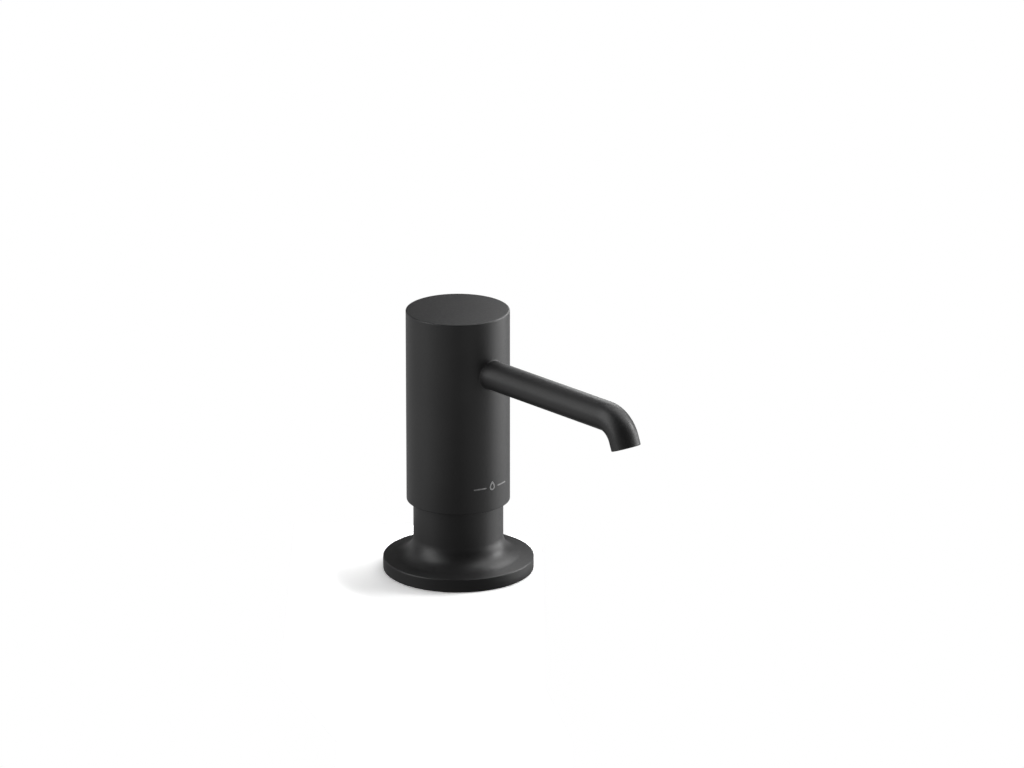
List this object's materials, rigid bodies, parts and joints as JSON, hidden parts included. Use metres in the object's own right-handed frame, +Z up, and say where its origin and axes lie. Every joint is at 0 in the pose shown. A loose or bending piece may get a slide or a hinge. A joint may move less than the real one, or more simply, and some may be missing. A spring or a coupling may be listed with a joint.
{
  "type": "soap pump dispenser",
  "caption": "Deck-mounted soap dispenser: press-down cylindrical head with a swivelling bent spout, flanged base, threaded shank, refill bottle and a working piston pump.",
  "frame": {"origin": "centre of the base flange's underside, in the plane of the deck it stands on", "axes": "+Z up along the pump's axis, the spout points along -Y, +X to the right when facing the spout's outlet from behind the head"},
  "size_m": [0.072, 0.1295, 0.301],
  "materials": {
    "matte_black_finish": "matte black powder coat on brass, very fine texture",
    "black_plastic": "moulded, satin",
    "white_plastic": "moulded polypropylene",
    "natural_plastic": "natural polyethylene, milky",
    "bottle_plastic": "blown natural polyethylene, milky and translucent",
    "stainless_steel": "plain stainless steel",
    "polished_steel": "polished stainless steel",
    "seal_rubber": "nitrile rubber",
    "deck_rubber": "soft rubber sheet, matte"
  },
  "bodies": {
    "base": {"base_flange": "matte_black_finish", "deck_gasket": "deck_rubber", "shank": "black_plastic", "rubber_washer": "deck_rubber", "clamp_washer": "stainless_steel", "mounting_nut": "black_plastic", "bottle": "bottle_plastic"},
    "pump": {"pump_housing": "white_plastic", "housing_gasket": "seal_rubber", "pump_cap": "black_plastic", "pump_cap_o_ring": "seal_rubber", "stem_guide": "natural_plastic", "ball_cage": "natural_plastic", "return_spring": "stainless_steel", "dip_tube": "natural_plastic"},
    "plunger": {"pump_stem": "white_plastic", "piston": "natural_plastic", "piston_retainer": "white_plastic", "stem_o_ring": "seal_rubber"},
    "head": {"head_shell": "matte_black_finish", "spout": "matte_black_finish", "spout_liner": "natural_plastic", "spout_o_ring": "seal_rubber", "spout_set_screw": "stainless_steel", "head_insert": "white_plastic"},
    "inlet_ball": {"inlet_ball": "polished_steel"},
    "outlet_ball": {"outlet_ball": "polished_steel"}
  },
  "joints": [
    {"name": "pump_lift", "type": "slide", "parent": "base", "child": "pump", "axis": [0, 0, 1], "range_m": [0, 0.245]},
    {"name": "head_press", "type": "slide", "parent": "pump", "child": "plunger", "axis": [0, 0, -1], "range_m": [0, 0.013], "stiffness_N_per_m": 350, "springref_m": -0.02, "deforming": ["return_spring"]},
    {"name": "head_swivel", "type": "hinge", "parent": "plunger", "child": "head", "pos_m": [0, 0, 0.07], "axis": [0, 0, 1], "continuous": true},
    {"name": "inlet_ball_lift", "type": "slide", "parent": "pump", "child": "inlet_ball", "axis": [0, 0, 1], "range_m": [0, 0.0015]},
    {"name": "outlet_ball_lift", "type": "slide", "parent": "plunger", "child": "outlet_ball", "axis": [0, 0, 1], "range_m": [0, 0.0015]}
  ]
}
